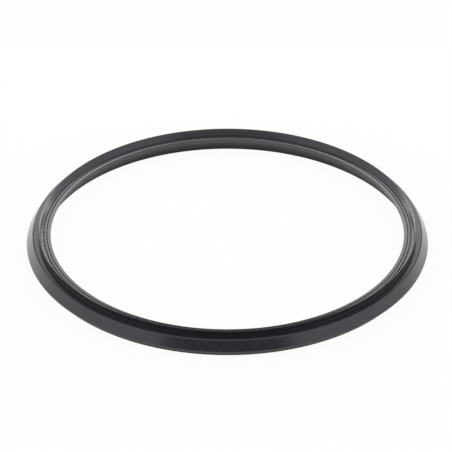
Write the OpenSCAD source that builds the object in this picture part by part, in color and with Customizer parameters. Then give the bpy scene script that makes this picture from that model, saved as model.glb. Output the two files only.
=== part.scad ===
// A moulded rubber ring that keeps water and dust out of a drum brake. It goes round the brake's
// fixed panel and its lip runs against the turning drum. It lies on its foot, centred on Z, with
// the lip upward. The whole ring is one solid: a section turned once about the axis.

/* [Ring] */
// outer diameter, at the widest edge
outer_d = 200; // [160:1:240]
// how far the lip's tip stands in from the widest edge
lip_in = 12; // [11.8:0.1:13]

/* [Foot and outer wall] */
// how far the foot's outer edge stands in from the widest edge
foot_out = 3.1; // [2:0.1:4]
// how far the foot's inner edge stands in from the widest edge
foot_in = 7.2; // [6.4:0.1:8]
// radius on both edges of the foot
foot_r = 0.4; // [0.2:0.05:0.6]
// height of the widest edge above the foot
edge_h = 3.4; // [2.6:0.1:4.4]
// height of the narrow upright band at the widest edge
edge_band = 0.4; // [0.2:0.05:0.8]
// how far the shoulder stands in from the widest edge
shoulder_in = 3.65; // [3.2:0.05:4.2]
// radius of the rounded shoulder
shoulder_r = 1.6; // [0.8:0.1:2]

/* [Shelf and ridge] */
// height of the flat shelf above the foot
shelf_h = 8.65; // [8.4:0.05:8.9]
// how far the foot of the ridge's wall stands in from the widest edge
root_in = 6.65; // [6.3:0.05:6.9]
// radius of the hollow where the shelf meets the ridge's wall
root_r = 0.1; // [0.05:0.01:0.2]
// how far the top of the ridge's wall stands in, so that the wall leans outward
ridge_in = 5.95; // [5.8:0.05:6.05]
// height of the ridge above the foot
ridge_h = 11.8; // [11.2:0.1:12.4]
// width of the ridge's narrow crest
crest_w = 0.28; // [0.24:0.01:0.4]
// how much lower the crest is at its outer edge
crest_fall = 0.07; // [0.02:0.01:0.1]
// radius on both edges of the crest
crest_r = 0.1; // [0.05:0.01:0.12]

/* [Lip] */
// how far the slope below the ridge ends in from the widest edge
slope_in = 8.45; // [8.3:0.05:8.6]
// height where that slope ends, above the foot
slope_h = 9; // [8.9:0.05:9.2]
// how far the lowest line of the lip's top stands in from the widest edge
valley_in = 11.1; // [10.8:0.1:11.4]
// height of that line above the foot
valley_h = 8.8; // [8.65:0.05:8.9]
// height of the lip at its turned-up tip, above the foot
lip_h = 8.95; // [8.9:0.05:9.2]
// height of the upright end face of the lip, with its rounded edge
tip_t = 0.95; // [0.7:0.05:1.3]
// radius on the upper edge of the lip's end face
tip_r = 0.15; // [0.1:0.05:0.3]
// width of the narrow band between the two grooves
band_w = 0.9; // [0.8:0.05:1]
// width of each of the two grooves in the lip
groove_w = 0.5; // [0.4:0.05:0.6]
// depth of each of the two grooves in the lip
groove_d = 0.4; // [0.35:0.05:0.5]

/* [Underside] */
// how far the bend in the inner wall stands in from the widest edge
bend_in = 8.85; // [8.7:0.05:9.1]
// height of the bend in the inner wall above the foot
bend_h = 3.7; // [3.2:0.1:4.4]
// radius of the hollow at the bend
bend_r = 6; // [3:0.5:9]

/* [Hidden] */
$fn = 180;
ro = outer_d / 2;
// how far a corner piece reaches past the edges that it trims
over = 0.1;
// how far an arc passes over the edges that it meets, so that they cross cleanly
touch = 0.0005;

// the section's corners, each as radius and height
foot_o = [ro - foot_out, 0];
edge_lo = [ro, edge_h];
edge_hi = [ro, edge_h + edge_band];
shoulder = [ro - shoulder_in, shelf_h];
root = [ro - root_in, shelf_h];
crest_o = [ro - ridge_in, ridge_h - crest_fall];
crest_i = [ro - ridge_in - crest_w, ridge_h];
slope = [ro - slope_in, slope_h];
valley = [ro - valley_in, valley_h];
tip_hi = [ro - lip_in, lip_h];
tip_lo = [ro - lip_in, lip_h - tip_t];
bend = [ro - bend_in, bend_h];
foot_i = [ro - foot_in, 0];

color_rubber = [0.05, 0.05, 0.055];

// the unit vector from v towards p
function towards(v, p) = (p - v) / norm(p - v);

// half of the angle at corner v between its edges to a and b
function half_angle(a, v, b) = acos(towards(v, a) * towards(v, b)) / 2;

// the unit vector that halves the angle at corner v
function halving(a, v, b) = towards([0, 0], towards(v, a) + towards(v, b));

// the centre of an arc of radius r that touches both edges at corner v
function arc_centre(a, v, b, r) = v + halving(a, v, b) * r / sin(half_angle(a, v, b));

// where that arc touches the edge from v to a
function touch_point(a, v, b, r) = v + towards(v, a) * r / tan(half_angle(a, v, b));

// height of the lip's top at a radius between the end of the slope and the lowest line
function top_at(at) = slope_h + (valley_h - slope_h) * (slope[0] - at) / (slope[0] - valley[0]);

// what an arc of radius r takes off an outer corner v between its edges to a and b
module rounding(a, v, b, r) {
  centre = arc_centre(a, v, b, r);
  reach = 1 + over / r;
  difference() {
    polygon([
      centre,
      centre + (touch_point(a, v, b, r) - centre) * reach,
      v - halving(a, v, b) * 2 * over,
      centre + (touch_point(b, v, a, r) - centre) * reach
    ]);
    translate(centre) circle(r + touch);
  }
}

// the round that leaves a hollow of radius r in an inner corner v
module hollow(a, v, b, r) {
  translate(arc_centre(a, v, b, r)) circle(r + touch);
}

// a round-bottomed groove in the lip's top, centred at a radius
module groove(at) {
  r = groove_w / 2;
  translate([at, top_at(at) - groove_d + r]) {
    circle(r);
    translate([-r, 0]) square([groove_w, groove_d]);
  }
}

// the section with sharp outer corners and with its inner corners filled straight across
module plain_section() {
  polygon([
    foot_o, edge_lo, edge_hi, shoulder,
    touch_point(shoulder, root, crest_o, root_r), touch_point(crest_o, root, shoulder, root_r),
    crest_o, crest_i, slope, valley, tip_hi, tip_lo,
    touch_point(tip_lo, bend, foot_i, bend_r), touch_point(foot_i, bend, tip_lo, bend_r),
    foot_i
  ]);
}

module section() {
  difference() {
    plain_section();
    hollow(shoulder, root, crest_o, root_r);
    hollow(tip_lo, bend, foot_i, bend_r);
    rounding(edge_hi, shoulder, root, shoulder_r);
    rounding(root, crest_o, crest_i, crest_r);
    rounding(crest_o, crest_i, slope, crest_r);
    rounding(valley, tip_hi, tip_lo, tip_r);
    rounding(bend, foot_i, foot_o, foot_r);
    rounding(foot_i, foot_o, edge_lo, foot_r);
    groove(ro - slope_in - groove_w / 2);
    groove(ro - slope_in - groove_w * 3 / 2 - band_w);
  }
}

module seal_ring() {
  color(color_rubber) rotate_extrude() section();
}

seal_ring();
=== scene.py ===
# %% [markdown]
# # A moulded rubber seal ring
# The object is one ring of black rubber that keeps water and dust out of a drum brake. There is
# nothing to assemble, so all of its looks come from three things: the true shape of its section
# with every small radius that catches the light, a rubber that is satin rather than flat black,
# and soft light placed so that each face of the section gets its own tone.
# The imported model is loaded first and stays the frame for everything: metres, +Z up, and the ring
# lying on its foot round the origin.

# %% Load the frame
import math

import bpy
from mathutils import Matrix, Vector, noise


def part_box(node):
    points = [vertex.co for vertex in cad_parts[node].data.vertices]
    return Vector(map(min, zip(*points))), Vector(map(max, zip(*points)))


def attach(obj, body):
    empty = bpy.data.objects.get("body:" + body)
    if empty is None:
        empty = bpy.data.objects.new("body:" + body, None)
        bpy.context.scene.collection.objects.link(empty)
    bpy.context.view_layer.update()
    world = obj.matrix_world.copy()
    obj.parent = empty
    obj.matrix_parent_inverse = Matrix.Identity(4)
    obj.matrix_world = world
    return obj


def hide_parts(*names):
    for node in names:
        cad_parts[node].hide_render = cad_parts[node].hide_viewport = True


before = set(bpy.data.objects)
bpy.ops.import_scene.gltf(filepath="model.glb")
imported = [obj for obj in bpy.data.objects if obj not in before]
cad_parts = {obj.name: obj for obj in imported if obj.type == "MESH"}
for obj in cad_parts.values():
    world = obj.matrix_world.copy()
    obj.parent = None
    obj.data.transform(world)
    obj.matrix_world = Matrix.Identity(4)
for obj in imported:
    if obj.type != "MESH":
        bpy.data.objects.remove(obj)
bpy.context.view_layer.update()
scene = bpy.context.scene
scene.view_settings.view_transform = "Standard"
MM = 0.001
ring_low, ring_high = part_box("seal_ring")
outer_r = (ring_high[0] - ring_low[0]) / 2
ring_h = ring_high[2]
print("outer radius", round(outer_r / MM, 2), "mm, height", round(ring_h / MM, 2), "mm")

# %% [markdown]
# ## The camera
# A long lens from far away keeps the ring's ellipse nearly true. The camera looks down at the
# ring's centre at about 33 degrees. The picture is square, so one number for the size is enough.
# The ring sits a little below the middle of the picture. Shifting the lens does that without
# turning the camera, so the ellipse keeps its shape.

# %% Camera
picture_px = 452
view_tilt = math.radians(32.77)
view_distance = 15.7 * outer_r
px_per_m = 2000.0
sensor_mm = 36.0
right_px = 1.34
down_px = 18.63
sight_limit = 20

cam_data = bpy.data.cameras.new("camera")
cam_data.sensor_width = sensor_mm
cam_data.lens = sensor_mm * px_per_m * view_distance / picture_px
cam_data.shift_x = -right_px / picture_px
cam_data.shift_y = down_px / picture_px
cam_data.clip_end = sight_limit
camera = bpy.data.objects.new("camera", cam_data)
scene.collection.objects.link(camera)
camera.location = (0, -view_distance * math.cos(view_tilt), view_distance * math.sin(view_tilt))
camera.rotation_euler = (math.pi / 2 - view_tilt, 0, 0)
scene.camera = camera
print("lens", round(cam_data.lens, 1), "mm at", round(view_distance, 2), "m")

# %% [markdown]
# ## The section
# A ring like this is pressed in a two-part mould, and its section was drawn as straight lines with
# small radii between them. It is written here the same way: a list of corners, each with its
# radius, measured inward from the widest edge and up from the foot. Starting at the foot, it goes
# up the cone to the shelf, over the sharp ridge whose wall leans outward above the shelf, down
# the slope and across the lip with its two fine grooves, and back under the lip.
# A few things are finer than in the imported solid: the thin fin at the widest edge, where the two
# halves of the mould met, the deeper, pointed grooves, the faint crown of the slope below the
# ridge, and a crisper shoulder on a slightly higher shelf.

# %% Section corners
section = [
    # inward, height and radius of each corner, all in millimetres
    # the outer edge of the foot, and up the lower cone
    (3.1, 0.0, 0.4),
    (0.06, 3.35, 0.15),
    # the fin that the mould's joint left at the widest edge
    (0.06, 3.55, 0.02),
    (0.0, 3.57, 0.01),
    (0.0, 3.63, 0.01),
    (0.06, 3.65, 0.02),
    # up the cone to the shoulder, and along the shelf to the ridge's wall
    (0.06, 3.85, 0.15),
    (3.1, 8.8, 0.9),
    (6.65, 8.8, 0.1),
    # the ridge
    (5.95, 11.73, 0.1),
    (6.23, 11.8, 0.1),
    # the crown of the slope
    (6.95, 11.04, 3.0),
    # the outer groove
    (8.43, 9.0, 0.06),
    (8.7, 8.4, 0.08),
    (8.97, 8.92, 0.06),
    # the inner groove
    (9.83, 8.92, 0.06),
    (10.1, 8.3, 0.08),
    (10.37, 8.9, 0.06),
    # the end of the lip
    (12.0, 8.93, 0.15),
    (12.0, 8.0, 0.08),
    # the hollow under the lip, and the inner edge of the foot
    (8.85, 3.7, 6.0),
    (7.2, 0.0, 0.4),
]
section_width = max(corner[0] for corner in section)
section_height = max(corner[1] for corner in section)
print("section", section_width, "mm wide,", section_height, "mm high")

# %% [markdown]
# ## Rounding the corners
# On the moulded ring every corner has a small radius, and each draws a line of light. A helper
# replaces each corner by an arc. Straight stretches get one extra point close to each end, so that
# smooth shading bends only in the arcs and the flats stay flat. The alternative, a bevel modifier
# on a sharp ring, would need one width for all corners, and here they differ from a hundredth of a
# millimetre to six.

# %% Rounded outline
arc_steps = 4
support_mm = 0.02

def rounded_outline(corners, steps, support):
    """The closed outline as points, with an arc at each corner and a support point beside it."""
    points = []
    count = len(corners)
    for i in range(count):
        x, y, radius = corners[i]
        here = Vector((x, y))
        to_last = (Vector(corners[i - 1][:2]) - here).normalized()
        to_next = (Vector(corners[(i + 1) % count][:2]) - here).normalized()
        half = to_last.angle(to_next) / 2
        along = radius / math.tan(half)
        centre = here + (to_last + to_next).normalized() * (radius / math.sin(half))
        start = here + to_last * along
        end = here + to_next * along
        sweep = (start - centre).angle_signed(end - centre)
        spoke = start - centre
        reach = min(support, radius)
        points.append(start + to_last * reach)
        for k in range(steps + 1):
            angle = -sweep * k / steps
            points.append(centre + Vector((
                spoke.x * math.cos(angle) - spoke.y * math.sin(angle),
                spoke.x * math.sin(angle) + spoke.y * math.cos(angle),
            )))
        points.append(end + to_next * reach)
    return points

outline = rounded_outline(section, arc_steps, support_mm)
print("outline points", len(outline))

# %% [markdown]
# ## How true the ring lies
# Soft rubber never lies as a perfect circle. Noise that runs once round in a circle of its own
# comes back to where it started, so it gives a wave without a seam. The wave moves a point down
# by a few hundredths of a millimetre, growing from nothing at the foot, so the ring keeps
# lying flat. It is too small to measure, but the long highlights lose their ruler-straight look.

# %% Slight wave
wave_mm = 0.05
wave_turns = 1.6
wave_slice = 3.7

def wave_at(angle, height):
    """How far a point stands off its true height, in millimetres."""
    where = Vector((math.cos(angle) * wave_turns, math.sin(angle) * wave_turns, wave_slice))
    lift = height * MM / ring_h
    return -wave_mm * lift * (0.5 + 0.5 * noise.noise(where))

sample = [wave_at(math.radians(a), ring_h / MM) for a in range(0, 360, 10)]
print("the top waves by", round(max(sample) - min(sample), 3), "mm")

# %% [markdown]
# ## Turning the section into the ring
# The outline is set round the axis at many small steps and joined into faces. A Screw modifier
# could turn it too, but plain loops give even faces and let the wave go in at the same time.
# The faces share their corners all the way round, so the ring is one closed skin.

# %% Revolve
turning_steps = 576

def revolve(name, outline_points, around):
    """A closed ring from an outline of inward and height values, as one smooth mesh."""
    verts = []
    for j in range(around):
        angle = 2 * math.pi * j / around
        for inward, height in outline_points:
            r = outer_r - inward * MM
            z = (height + wave_at(angle, height)) * MM
            verts.append((r * math.cos(angle), r * math.sin(angle), z))
    count = len(outline_points)
    faces = []
    for j in range(around):
        here = j * count
        onward = ((j + 1) % around) * count
        for i in range(count):
            i_next = (i + 1) % count
            faces.append((here + i, onward + i, onward + i_next, here + i_next))
    mesh = bpy.data.meshes.new(name)
    mesh.from_pydata(verts, [], faces)
    mesh.update()
    for poly in mesh.polygons:
        poly.use_smooth = True
    obj = bpy.data.objects.new(name, mesh)
    scene.collection.objects.link(obj)
    return obj

ring = revolve("rubber_ring", outline, turning_steps)
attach(ring, "root")
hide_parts("seal_ring")
top_face = max(ring.data.polygons, key=lambda p: p.center.z)
print("triangles", 2 * len(ring.data.polygons))
print("the skin faces outward:", top_face.normal.z > 0)

# %% [markdown]
# ## Small helpers for nodes
# A material is a graph of nodes, and most of what follows joins one node's output to another's
# input. A few helpers keep that readable. The first sets or links the inputs of a node by name,
# the second adds a node and does the same, and the others make the nodes that come up all the
# time: a sum or product, a smooth ramp between two limits, and a mix of two colours or levels.

# %% Node helpers
def set_inputs(tree, node, inputs):
    """Set or link the inputs of a node, by name or number, and give the node back."""
    for key, value in inputs.items():
        if isinstance(value, bpy.types.NodeSocket):
            tree.links.new(value, node.inputs[key])
        else:
            node.inputs[key].default_value = value
    return node

def add_node(tree, kind, inputs=None, **settings):
    """A new node with its settings, and its inputs set or linked."""
    node = tree.nodes.new(kind)
    for name, value in settings.items():
        setattr(node, name, value)
    return set_inputs(tree, node, inputs or {})

def calc(tree, operation, a, b=0.0):
    """The result of one Math node."""
    return add_node(tree, "ShaderNodeMath", {0: a, 1: b}, operation=operation).outputs[0]

def smooth_ramp(tree, value, start, end, at_start=0.0, at_end=1.0):
    """A value that eases from one level to another between two limits."""
    limits = {
        "Value": value,
        "From Min": start,
        "From Max": end,
        "To Min": at_start,
        "To Max": at_end,
    }
    node = add_node(tree, "ShaderNodeMapRange", limits, interpolation_type="SMOOTHSTEP")
    return node.outputs["Result"]

# the Mix node keeps sockets for every kind of data under the same names, so they go by number
mix_sockets = {"FLOAT": (2, 3, 0), "RGBA": (6, 7, 2)}

def mix(tree, kind, share, first, second):
    """Between two levels or two colours, by a share from 0 to 1."""
    in_first, in_second, out = mix_sockets[kind]
    inputs = {"Factor": share, in_first: first, in_second: second}
    return add_node(tree, "ShaderNodeMix", inputs, data_type=kind).outputs[out]

print("helpers ready, mixing", list(mix_sockets))

# %% [markdown]
# ## Helpers for the surface
# The rubber's finish is made of patterns that lie fixed in the ring: noise of several sizes, and
# bands that depend on the distance from the axis. A pattern could be made straight in the
# material, but as a node group with named inputs it can be tried at other sizes and used again.
# These helpers make an empty group, list its sockets, and give the distance from the axis, a noise
# and the scale of a noise for grains of a known size.

# %% Surface helpers
def new_group(name, inputs, outputs):
    """An empty node group of number sockets, with what it is given and its output node."""
    tree = bpy.data.node_groups.new(name, "ShaderNodeTree")
    socket_type = "NodeSocketFloat"
    for socket_name, default in inputs.items():
        socket = tree.interface.new_socket(socket_name, in_out="INPUT", socket_type=socket_type)
        socket.default_value = default
    for socket_name in outputs:
        tree.interface.new_socket(socket_name, in_out="OUTPUT", socket_type=socket_type)
    given = tree.nodes.new("NodeGroupInput")
    result = tree.nodes.new("NodeGroupOutput")
    return tree, given.outputs, result

def show_sockets(group):
    """Print the names of what a group takes and gives."""
    names = [item.name for item in group.interface.items_tree]
    print("group", group.name, "takes and gives", names)

def distance_from_axis(tree, place):
    """How far a place lies from the vertical axis."""
    flat = add_node(tree, "ShaderNodeVectorMath", {0: place, 1: (1, 1, 0)}, operation="MULTIPLY")
    length = add_node(tree, "ShaderNodeVectorMath", {0: flat.outputs[0]}, operation="LENGTH")
    return length.outputs["Value"]

def noise_at(tree, place, scale, detail, roughness=0.5):
    """A cloudy value from 0 to 1 that changes from place to place."""
    inputs = {"Vector": place, "Scale": scale, "Detail": detail, "Roughness": roughness}
    return add_node(tree, "ShaderNodeTexNoise", inputs).outputs["Fac"]

def scale_for(tree, size):
    """The noise scale, in grains per metre, for a grain size in millimetres."""
    return calc(tree, "DIVIDE", 1.0 / MM, size)

print("a grain of 1 mm is a noise scale of", round(1.0 / MM))

# %% [markdown]
# ## Moulded skin
# Close up, the rubber has the skin of its mould: fine marks that run round the ring where the
# cutting tool turned, and a finer grain over them. Both stand only a few thousandths of a
# millimetre high, so they are a bump and not geometry. The marks depend only on the distance from
# the axis and the height, so they follow the ring. The group puts out one height for a Bump node.

# %% Moulded skin group
marks_detail = 3.0
marks_roughness = 0.6
grain_detail = 2.0

def moulded_skin_group():
    """Height of turned marks and grain, from sizes in millimetres."""
    sizes = {"Mark Spacing": 0.25, "Mark Share": 0.5, "Grain Size": 0.2}
    tree, given, result = new_group("moulded_skin", sizes, ("Height",))
    place = tree.nodes.new("ShaderNodeTexCoord").outputs["Object"]
    height = add_node(tree, "ShaderNodeSeparateXYZ", {0: place}).outputs["Z"]
    # the distance from the axis less the height changes across every face of the section
    across = calc(tree, "SUBTRACT", distance_from_axis(tree, place), height)
    spacing = calc(tree, "MULTIPLY", given["Mark Spacing"], MM)
    lane = calc(tree, "DIVIDE", across, spacing)
    marks = add_node(
        tree, "ShaderNodeTexNoise",
        {"W": lane, "Scale": 1.0, "Detail": marks_detail, "Roughness": marks_roughness},
        noise_dimensions="1D").outputs["Fac"]
    grain = noise_at(tree, place, scale_for(tree, given["Grain Size"]), grain_detail)
    set_inputs(tree, result, {"Height": mix(tree, "FLOAT", given["Mark Share"], grain, marks)})
    return tree

skin_group = moulded_skin_group()
show_sockets(skin_group)

# %% [markdown]
# ## Bloom and rubbing
# Wax in the rubber comes to the surface as a bloom of soft, slightly paler clouds. Where the ring
# is handled, along the top of the ridge, the rubber is rubbed a touch smoother. One group gives
# both as masks. The clouds come from a noise with a strong fine part, and the rubbed places from
# the height, broken up by a finer noise. Painting them by hand would fix them to one size of ring.

# %% Bloom and rubbing group
cloud_detail = 5.0
cloud_roughness = 0.68
clouds_from = 0.4
clouds_full = 0.66
rub_fade = 0.5 * MM
rub_breaks_scale = 900.0
rub_breaks_detail = 3.0
rubbed_from = 0.1
rubbed_full = 0.6

def bloom_group():
    """Masks of waxy clouds and of the rubbed ridge, from sizes in millimetres."""
    sizes = {"Cloud Size": 12.0, "Rubbed Above": 11.3}
    tree, given, result = new_group("bloom_and_rubbing", sizes, ("Bloom", "Rubbed"))
    place = tree.nodes.new("ShaderNodeTexCoord").outputs["Object"]
    cloud_scale = scale_for(tree, given["Cloud Size"])
    clouds = noise_at(tree, place, cloud_scale, cloud_detail, cloud_roughness)
    bloom = smooth_ramp(tree, clouds, clouds_from, clouds_full)
    height = add_node(tree, "ShaderNodeSeparateXYZ", {0: place}).outputs["Z"]
    edge_height = calc(tree, "MULTIPLY", given["Rubbed Above"], MM)
    above_edge = calc(tree, "SUBTRACT", height, edge_height)
    rub_strength = calc(tree, "MULTIPLY", above_edge, 1.0 / rub_fade)
    breaks = noise_at(tree, place, rub_breaks_scale, rub_breaks_detail)
    rubbed_level = calc(tree, "MULTIPLY", rub_strength, breaks)
    rubbed = smooth_ramp(tree, rubbed_level, rubbed_from, rubbed_full)
    set_inputs(tree, result, {"Bloom": bloom, "Rubbed": rubbed})
    return tree

wear_group = bloom_group()
show_sockets(wear_group)

# %% [markdown]
# ## Faces that look up
# Two things belong only to the faces that look up. A few specks of dust settle on them, and the
# shelf outside the ridge is duller than the rest, because its part of the mould was left coarser.
# The normal's height tells how far a face looks up, and the distance from the axis tells the
# shelf from the lip. Splitting the mesh into faces with materials of their own would do it too,
# but would leave a hard edge between them.

# %% Upward faces group
facing_from = 0.7
facing_full = 0.95
dust_detail = 1.0
specks_from = 0.72
specks_full = 0.78

def upward_faces_group():
    """Masks of dust specks and of the coarse shelf, from sizes in millimetres."""
    sizes = {"Dust Size": 0.5, "Shelf Radius": 94.0}
    tree, given, result = new_group("upward_faces", sizes, ("Dust", "Shelf"))
    place = tree.nodes.new("ShaderNodeTexCoord").outputs["Object"]
    normal = tree.nodes.new("ShaderNodeNewGeometry").outputs["Normal"]
    upward = add_node(tree, "ShaderNodeSeparateXYZ", {0: normal}).outputs["Z"]
    looks_up = smooth_ramp(tree, upward, facing_from, facing_full)
    dust_noise = noise_at(tree, place, scale_for(tree, given["Dust Size"]), dust_detail)
    specks = smooth_ramp(tree, dust_noise, specks_from, specks_full)
    shelf_from = calc(tree, "MULTIPLY", given["Shelf Radius"], MM)
    past_ridge = calc(tree, "GREATER_THAN", distance_from_axis(tree, place), shelf_from)
    dust = calc(tree, "MULTIPLY", specks, looks_up)
    shelf = calc(tree, "MULTIPLY", past_ridge, looks_up)
    set_inputs(tree, result, {"Dust": dust, "Shelf": shelf})
    return tree

upward_group = upward_faces_group()
show_sockets(upward_group)

# %% [markdown]
# ## The rubber's colour
# Black rubber holds almost no colour of its own, a few percent of grey with a breath of violet.
# The bloom lifts it a little and the specks of dust are a plain mid grey. A single black would
# look like a hole in the picture as soon as the light is low.

# %% Rubber colour
rubber_black = (0.0205, 0.0186, 0.0236, 1)
bloomed_grey = (0.0292, 0.0264, 0.0334, 1)
dust_grey = (0.16, 0.155, 0.15, 1)

rubber = bpy.data.materials.new("seal_rubber")
rubber.use_nodes = True
tree = rubber.node_tree
bsdf = tree.nodes["Principled BSDF"]
wear = add_node(
    tree, "ShaderNodeGroup",
    {"Cloud Size": 12.0, "Rubbed Above": 11.3},
    node_tree=wear_group).outputs
upward_faces = add_node(
    tree, "ShaderNodeGroup",
    {"Dust Size": 0.5, "Shelf Radius": 94.0},
    node_tree=upward_group).outputs
clouded = mix(tree, "RGBA", wear["Bloom"], rubber_black, bloomed_grey)
dusted = mix(tree, "RGBA", upward_faces["Dust"], clouded, dust_grey)
set_inputs(tree, bsdf, {"Base Color": dusted})
ring.data.materials.append(rubber)
print("rubber is", rubber_black[:3], "and", bloomed_grey[:3], "where it blooms")

# %% [markdown]
# ## The rubber's gloss
# What the eye sees of black rubber is the reflection. The Principled shader has two layers for
# that: the rubber below, a little rough, and the film of wax on it as a coat, slightly smoother.
# With both, the reflection is bright at a low angle and dark from above, as on the real ring. A
# plain rough black would look like felt, and a single smooth layer like lacquer. Bloom makes the
# rubber rougher, rubbing makes it smoother, and the coarse shelf is rougher with less of the film.

# %% Rubber gloss
bare_roughness = 0.23
bloom_adds = 0.05
rubbing_takes = 0.04
shelf_adds = 0.12
full_coat = 0.8
coat_lost_on_shelf = 0.35
wax_roughness = 0.2
rubber_ior = 1.6
wax_ior = 1.6
reflection_tint = (0.95, 0.81, 1.0, 1)

bloomed = calc(tree, "ADD", calc(tree, "MULTIPLY", wear["Bloom"], bloom_adds), bare_roughness)
smoothed = calc(tree, "SUBTRACT", bloomed, calc(tree, "MULTIPLY", wear["Rubbed"], rubbing_takes))
shelf_roughness = calc(tree, "MULTIPLY", upward_faces["Shelf"], shelf_adds)
coat_loss = calc(tree, "MULTIPLY", upward_faces["Shelf"], coat_lost_on_shelf)
set_inputs(tree, bsdf, {
    "Roughness": calc(tree, "ADD", smoothed, shelf_roughness),
    "IOR": rubber_ior,
    "Specular Tint": reflection_tint,
    "Coat Weight": calc(tree, "SUBTRACT", full_coat, coat_loss),
    "Coat Roughness": wax_roughness,
    "Coat IOR": wax_ior,
})
print("roughness from", round(bare_roughness - rubbing_takes, 2), "to",
      round(bare_roughness + bloom_adds + shelf_adds, 2))

# %% [markdown]
# ## The rubber's skin
# The moulded skin goes on last, as a bump of a few thousandths of a millimetre. That is enough to
# soften and break up the lines of light. Real displacement of that size would need millions of
# faces and would look the same.

# %% Rubber skin
skin_depth = 0.006 * MM

skin = add_node(
    tree, "ShaderNodeGroup",
    {"Mark Spacing": 0.25, "Mark Share": 0.5, "Grain Size": 0.2},
    node_tree=skin_group)
bump = add_node(
    tree, "ShaderNodeBump",
    {"Strength": 1.0, "Distance": skin_depth, "Height": skin.outputs["Height"]})
set_inputs(tree, bsdf, {"Normal": bump.outputs["Normal"]})
print("rubber with", len(tree.nodes), "nodes")

# %% [markdown]
# ## The floor
# The ring lies on a plain white sheet. It is one large square, far bigger than the picture, so
# that no edge or horizon shows. It only carries the ring and its shadow.

# %% Floor
half_floor = 6.0

floor_mesh = bpy.data.meshes.new("floor")
floor_mesh.from_pydata(
    [(-half_floor, -half_floor, 0), (half_floor, -half_floor, 0),
     (half_floor, half_floor, 0), (-half_floor, half_floor, 0)],
    [], [(0, 1, 2, 3)])
floor = bpy.data.objects.new("floor", floor_mesh)
scene.collection.objects.link(floor)
print("floor", 2 * half_floor, "m wide")

# %% [markdown]
# ## The white of the floor
# A camera sees white paper as white only where the light on it is strong enough, and raising the
# light would wash out the rubber. So the sheet mixes its plain white surface with a glow that
# only the camera's own rays and the mirrored rays meet. The camera's share gives way a little
# near the ring, so that the true surface shows through and the ring keeps its soft shadow.
# The mirrored share fades out under the ring, where a real sheet lies in the ring's shade.
# Outside the ring it comes back within a few millimetres, inside it in two steps, because there
# the sheet is shaded from all round.

# %% Paper
paper_white = (0.95, 0.95, 0.95, 1)
seen_far = 0.985
seen_near = 0.955
open_glow = 0.99
shaded_glow = 0.42
foot_edge_r = outer_r - 3.5 * MM
# each pair is a fade, as distances outward from the outer edge of the foot
seen_fade = (6 * MM, 50 * MM)
outside_fade = (3 * MM, 10 * MM)
inside_near_fade = (-9.5 * MM, -4 * MM)
inside_far_fade = (-50 * MM, -20 * MM)

paper = bpy.data.materials.new("white_paper")
paper.use_nodes = True
tree = paper.node_tree
sheet = tree.nodes["Principled BSDF"]
set_inputs(tree, sheet, {"Base Color": paper_white, "Roughness": 1.0, "Specular IOR Level": 0.0})
glow = add_node(tree, "ShaderNodeEmission", {"Strength": 1.0})
place = tree.nodes.new("ShaderNodeTexCoord").outputs["Object"]
off_foot = calc(tree, "SUBTRACT", distance_from_axis(tree, place), foot_edge_r)
outside = smooth_ramp(tree, off_foot, *outside_fade, 0.0, open_glow)
inside_far = smooth_ramp(tree, off_foot, *inside_far_fade, open_glow, shaded_glow)
inside_near = smooth_ramp(tree, off_foot, *inside_near_fade, 0.0, shaded_glow)
inside = calc(tree, "SUBTRACT", inside_far, inside_near)
path = tree.nodes.new("ShaderNodeLightPath").outputs
mirrored_level = calc(tree, "ADD", outside, inside)
mirrored = calc(tree, "MULTIPLY", path["Is Glossy Ray"], mirrored_level)
off_either_way = calc(tree, "ABSOLUTE", off_foot)
seen_level = smooth_ramp(tree, off_either_way, *seen_fade, seen_near, seen_far)
seen = calc(tree, "MULTIPLY", path["Is Camera Ray"], seen_level)
sheet_mix = add_node(
    tree, "ShaderNodeMixShader",
    {"Fac": calc(tree, "ADD", seen, mirrored), 1: sheet.outputs[0], 2: glow.outputs[0]})
set_inputs(tree, tree.nodes["Material Output"], {"Surface": sheet_mix.outputs[0]})
floor_mesh.materials.append(paper)
print("paper with", len(tree.nodes), "nodes")

# %% [markdown]
# ## Directions of the light
# The ring stands in a tent of white cloth. A tent could be built from sheets and lamps, but then
# each tone would hang on several of them. Here its light is painted on the world by direction, in
# two angles: the azimuth, counted from the camera's side, and the elevation above the floor.

# %% World directions
world = bpy.data.worlds.new("tent")
scene.world = world
world.use_nodes = True
tree = world.node_tree
sky = tree.nodes.new("ShaderNodeTexCoord").outputs["Generated"]
x_dir, y_dir, z_dir = add_node(tree, "ShaderNodeSeparateXYZ", {0: sky}).outputs
to_front = calc(tree, "MULTIPLY", y_dir, -1.0)
azimuth = calc(tree, "ABSOLUTE", calc(tree, "ARCTAN2", x_dir, to_front))
elevation = calc(tree, "ARCSINE", z_dir)

def by_degrees(value, between, at_start, at_end):
    """A smooth ramp of an angle between two limits in degrees."""
    start, end = between
    return smooth_ramp(tree, value, math.radians(start), math.radians(end), at_start, at_end)

print("directions with", len(tree.nodes), "nodes")

# %% [markdown]
# ## The light tent
# The cloth is evenly bright to both sides and brighter overhead. In front the tent is open for
# the camera, so there it is dark low down and grows brighter in two steps. The wall behind ends
# low, and between it and the roof it is dark as well. These two gaps give the cone at the front
# and the lip their dark tones.

# %% Light tent
side_level = 0.68
roof_level = 0.9
roof_rise = (50, 75)
rear_wall_top = (28, 34)
rear_roof_edge = (64, 79)
rear_corner = (125, 145)
rear_loss = 0.62
opening_level = 0.1
front_low_level = 0.45
front_low_rise = (24, 46)
front_roof_gain = 0.45
front_roof_rise = (58, 80)
front_corner = (28, 42)

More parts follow.
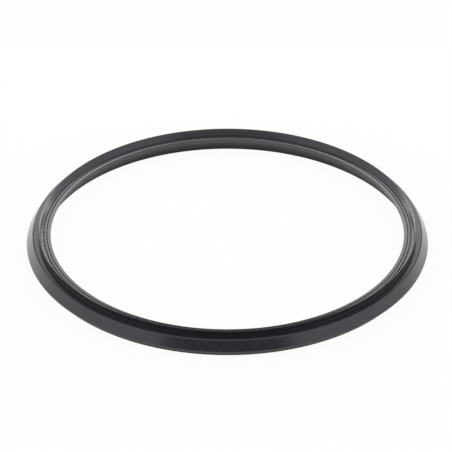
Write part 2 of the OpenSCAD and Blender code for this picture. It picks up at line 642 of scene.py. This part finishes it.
cloth = by_degrees(elevation, roof_rise, side_level, roof_level)
above_wall = by_degrees(elevation, rear_wall_top, 0.0, 1.0)
below_roof = by_degrees(elevation, rear_roof_edge, 1.0, 0.0)
rear_dark = calc(tree, "MULTIPLY", above_wall, below_roof)
rear_gap = calc(tree, "MULTIPLY", rear_dark, by_degrees(azimuth, rear_corner, 0.0, rear_loss))
sides_and_rear = calc(tree, "SUBTRACT", cloth, rear_gap)
front_low = by_degrees(elevation, front_low_rise, opening_level, front_low_level)
front_roof = by_degrees(elevation, front_roof_rise, 0.0, front_roof_gain)
front_cloth = calc(tree, "ADD", front_low, front_roof)
in_front = by_degrees(azimuth, front_corner, 1.0, 0.0)
tent_level = mix(tree, "FLOAT", in_front, sides_and_rear, front_cloth)
set_inputs(tree, tree.nodes["Background"], {"Strength": tent_level, "Color": (1, 1, 1, 1)})
print("tent with", len(tree.nodes), "nodes")

# %% [markdown]
# ## The near soft boxes
# Three soft boxes stand close behind the ring as a low arch: a long one on the floor and a smaller
# one on each of its ends. Being close is what matters: seen from the near side of the ring they
# stand low, from the sides higher, so the flat top of the lip turns from dark in front to bright
# at the sides. The gap in the arch is what the front of the lip mirrors, so it stays black. A
# light painted on the world can't do that, because it stands at the same angle for every part.

# %% Soft boxes
boxes_away = 0.2
boxes_half_width = 0.132
gap_half_width = 0.056
low_height = 0.12
arch_height = 0.2
low_level = 1.3
upper_level = 1.5

def soft_box(name, x_from, x_to, z_from, z_to, level):
    """An upright area light that faces the ring, where a level of 1 looks as bright as white."""
    light = bpy.data.lights.new(name, "AREA")
    light.shape = "RECTANGLE"
    light.size = x_to - x_from
    light.size_y = z_to - z_from
    light.energy = level * math.pi * light.size * light.size_y
    obj = bpy.data.objects.new(name, light)
    scene.collection.objects.link(obj)
    obj.location = ((x_from + x_to) / 2, boxes_away, (z_from + z_to) / 2)
    obj.rotation_euler = (-math.pi / 2, 0, 0)
    obj.visible_camera = False
    return light

low_box = soft_box("low_box", -boxes_half_width, boxes_half_width, 0, low_height, low_level)
soft_box("left_box", -boxes_half_width, -gap_half_width, low_height, arch_height, upper_level)
soft_box("right_box", gap_half_width, boxes_half_width, low_height, arch_height, upper_level)
print("low soft box", round(low_box.energy, 3), "W")
